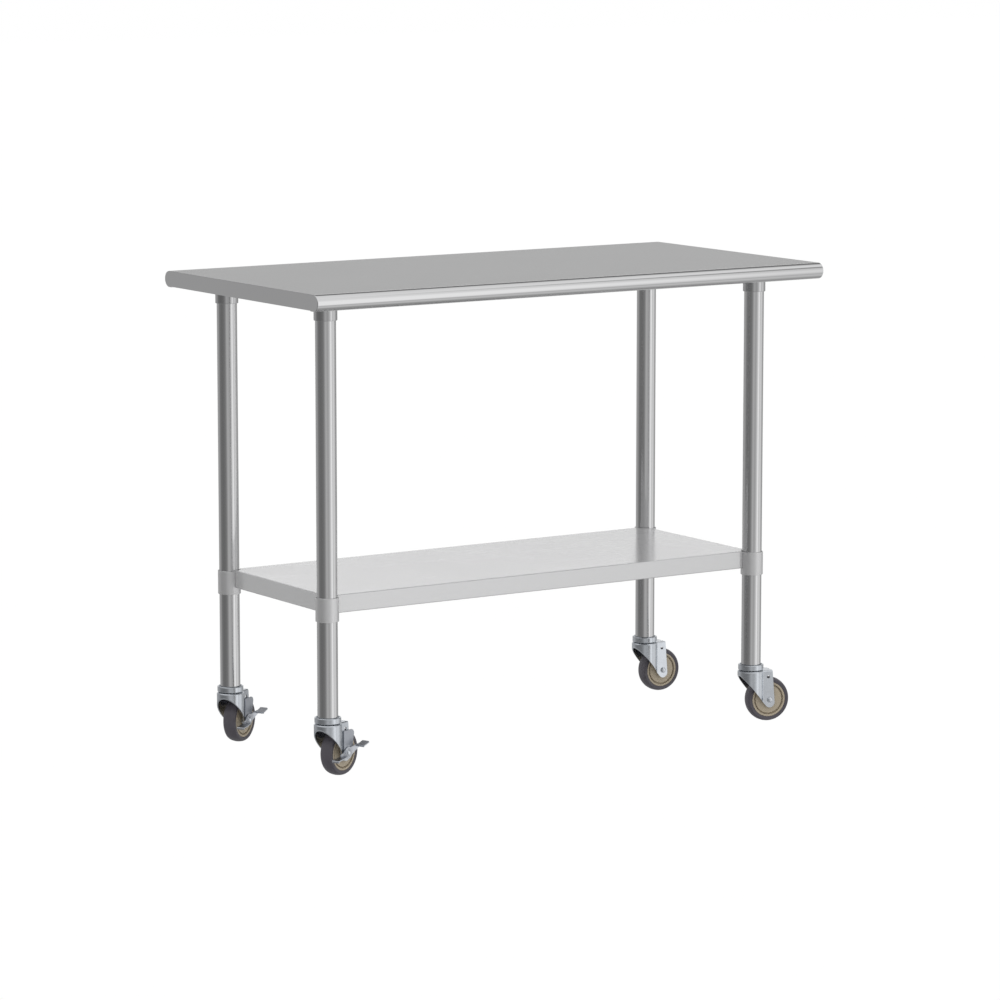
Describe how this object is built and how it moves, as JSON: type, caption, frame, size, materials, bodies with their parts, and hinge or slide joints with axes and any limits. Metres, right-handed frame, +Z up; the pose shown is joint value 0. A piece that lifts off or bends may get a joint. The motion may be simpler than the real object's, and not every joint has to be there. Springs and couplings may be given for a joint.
{
  "type": "stainless work table",
  "caption": "Stainless work table with a rolled-edge top, a height-adjustable undershelf, round tube legs and swivel casters, the left pair with foot brakes.",
  "frame": {"origin": "on the floor under the middle of the worktop", "axes": "+X along the table to its right end, +Y from its front to its back, +Z up; the braked casters are at the left end"},
  "size_m": [1.2192, 0.6096, 0.9779],
  "materials": {
    "worktop_steel": "satin brushed",
    "tube_steel": "polished tube",
    "satin_steel": "satin",
    "channel_steel": "mill finish",
    "zinc_plate": "bright zinc plate",
    "fastener_steel": "bright plated",
    "tyre_rubber": "matte",
    "hub_plastic": "matte"
  },
  "bodies": {
    "table_frame": {"worktop": "worktop_steel", "top_channel_front": "channel_steel", "top_channel_rear": "channel_steel", "leg_socket_front_left": "satin_steel", "socket_screw_front_left": "fastener_steel", "leg_front_left": "tube_steel", "caster_stem_front_left": "zinc_plate", "leg_socket_rear_left": "satin_steel", "socket_screw_rear_left": "fastener_steel", "leg_rear_left": "tube_steel", "caster_stem_rear_left": "zinc_plate", "leg_socket_front_right": "satin_steel", "socket_screw_front_right": "fastener_steel", "leg_front_right": "tube_steel", "caster_stem_front_right": "zinc_plate", "leg_socket_rear_right": "satin_steel", "socket_screw_rear_right": "fastener_steel", "leg_rear_right": "tube_steel", "caster_stem_rear_right": "zinc_plate"},
    "undershelf": {"shelf": "worktop_steel", "shelf_channel": "channel_steel", "shelf_collar_front_left": "satin_steel", "collar_screw_front_left": "fastener_steel", "shelf_collar_rear_left": "satin_steel", "collar_screw_rear_left": "fastener_steel", "shelf_collar_front_right": "satin_steel", "collar_screw_front_right": "fastener_steel", "shelf_collar_rear_right": "satin_steel", "collar_screw_rear_right": "fastener_steel"},
    "swivel_front_left": {"caster_fork_front_left": "zinc_plate", "swivel_bearing_front_left": "fastener_steel", "axle_bolt_front_left": "fastener_steel", "axle_nut_front_left": "fastener_steel", "brake_plate_front_left": "zinc_plate"},
    "wheel_front_left": {"wheel_hub_front_left": "hub_plastic", "tyre_front_left": "tyre_rubber"},
    "pedal_front_left": {"brake_pedal_front_left": "zinc_plate"},
    "shoe_front_left": {"brake_shoe_front_left": "fastener_steel"},
    "swivel_rear_left": {"caster_fork_rear_left": "zinc_plate", "swivel_bearing_rear_left": "fastener_steel", "axle_bolt_rear_left": "fastener_steel", "axle_nut_rear_left": "fastener_steel", "brake_plate_rear_left": "zinc_plate"},
    "wheel_rear_left": {"wheel_hub_rear_left": "hub_plastic", "tyre_rear_left": "tyre_rubber"},
    "pedal_rear_left": {"brake_pedal_rear_left": "zinc_plate"},
    "shoe_rear_left": {"brake_shoe_rear_left": "fastener_steel"},
    "swivel_front_right": {"caster_fork_front_right": "zinc_plate", "swivel_bearing_front_right": "fastener_steel", "axle_bolt_front_right": "fastener_steel", "axle_nut_front_right": "fastener_steel"},
    "wheel_front_right": {"wheel_hub_front_right": "hub_plastic", "tyre_front_right": "tyre_rubber"},
    "swivel_rear_right": {"caster_fork_rear_right": "zinc_plate", "swivel_bearing_rear_right": "fastener_steel", "axle_bolt_rear_right": "fastener_steel", "axle_nut_rear_right": "fastener_steel"},
    "wheel_rear_right": {"wheel_hub_rear_right": "hub_plastic", "tyre_rear_right": "tyre_rubber"}
  },
  "joints": [
    {"name": "shelf_height", "type": "slide", "parent": "table_frame", "child": "undershelf", "axis": [0, 0, 1], "range_m": [-0.16, 0.42]},
    {"name": "caster_swivel_front_left", "type": "hinge", "parent": "table_frame", "child": "swivel_front_left", "pos_m": [-0.5205, -0.184, 0.112], "axis": [0, 0, 1], "continuous": true},
    {"name": "wheel_spin_front_left", "type": "hinge", "parent": "swivel_front_left", "child": "wheel_front_left", "pos_m": [-0.48698, -0.17032, 0.0472], "axis": [-0.3778, 0.9259, 0], "continuous": true},
    {"name": "brake_pedal_front_left", "type": "hinge", "parent": "swivel_front_left", "child": "pedal_front_left", "pos_m": [-0.48698, -0.17032, 0.0472], "axis": [-0.3778, 0.9259, 0], "range_deg": [0, 25]},
    {"name": "brake_shoe_front_left", "type": "slide", "parent": "swivel_front_left", "child": "shoe_front_left", "axis": [-0.3778, 0.9259, 0], "range_m": [0, 0.0026]},
    {"name": "caster_swivel_rear_left", "type": "hinge", "parent": "table_frame", "child": "swivel_rear_left", "pos_m": [-0.5205, 0.207, 0.112], "axis": [0, 0, 1], "continuous": true},
    {"name": "wheel_spin_rear_left", "type": "hinge", "parent": "swivel_rear_left", "child": "wheel_rear_left", "pos_m": [-0.48957, 0.22581, 0.0472], "axis": [-0.5195, 0.8545, 0], "continuous": true},
    {"name": "brake_pedal_rear_left", "type": "hinge", "parent": "swivel_rear_left", "child": "pedal_rear_left", "pos_m": [-0.48957, 0.22581, 0.0472], "axis": [-0.5195, 0.8545, 0], "range_deg": [0, 25]},
    {"name": "brake_shoe_rear_left", "type": "slide", "parent": "swivel_rear_left", "child": "shoe_rear_left", "axis": [-0.5195, 0.8545, 0], "range_m": [0, 0.0026]},
    {"name": "caster_swivel_front_right", "type": "hinge", "parent": "table_frame", "child": "swivel_front_right", "pos_m": [0.5205, -0.184, 0.112], "axis": [0, 0, 1], "continuous": true},
    {"name": "wheel_spin_front_right", "type": "hinge", "parent": "swivel_front_right", "child": "wheel_front_right", "pos_m": [0.55556, -0.193, 0.0472], "axis": [0.2487, 0.9686, 0], "continuous": true},
    {"name": "caster_swivel_rear_right", "type": "hinge", "parent": "table_frame", "child": "swivel_rear_right", "pos_m": [0.5205, 0.207, 0.112], "axis": [0, 0, 1], "continuous": true},
    {"name": "wheel_spin_rear_right", "type": "hinge", "parent": "swivel_rear_right", "child": "wheel_rear_right", "pos_m": [0.55667, 0.20542, 0.0472], "axis": [0.0436, 0.999, 0], "continuous": true}
  ],
  "couplings": [
    {"joint": "brake_shoe_front_left", "follows": "brake_pedal_front_left", "m_per_rad": 0.0059},
    {"joint": "brake_shoe_rear_left", "follows": "brake_pedal_rear_left", "m_per_rad": 0.0059}
  ]
}
